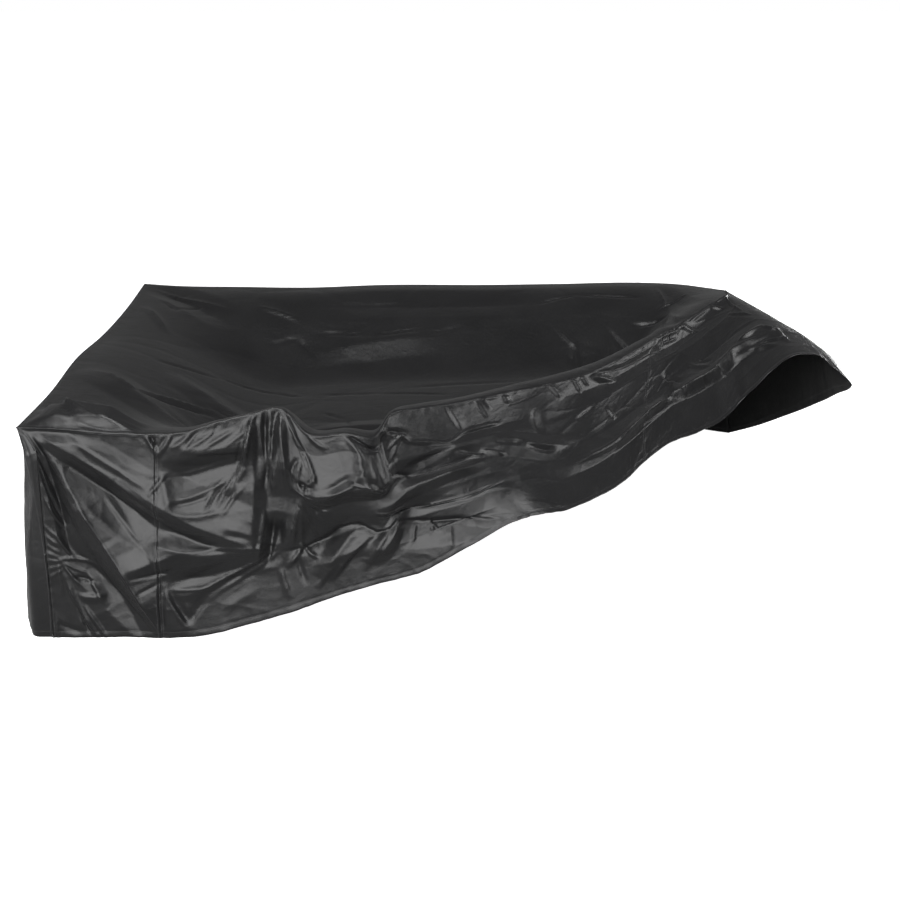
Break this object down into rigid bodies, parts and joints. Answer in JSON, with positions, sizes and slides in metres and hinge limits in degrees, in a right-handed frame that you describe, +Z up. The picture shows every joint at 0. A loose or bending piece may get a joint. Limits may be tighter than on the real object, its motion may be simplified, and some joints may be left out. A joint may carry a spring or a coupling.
{
  "type": "patio furniture cover",
  "caption": "Fitted cloth cover for patio furniture, half pulled on: sewn top and wall panels, with the front right corner thrown back over the top.",
  "frame": {"origin": "under the top panel, at the middle of the back rim that it rests on", "axes": "+X to the right along the back, +Y to the back, +Z up; the floor is 0.714 m below the origin"},
  "size_m": [2.8843, 2.2141, 0.7573],
  "materials": {
    "coated_polyester": "black woven polyester with a coated, softly shining face"
  },
  "bodies": {
    "root": {"top_panel": "coated_polyester", "left_wall": "coated_polyester", "front_corner_panel": "coated_polyester", "front_panel": "coated_polyester", "right_wall": "coated_polyester", "back_wall": "coated_polyester"}
  },
  "joints": []
}
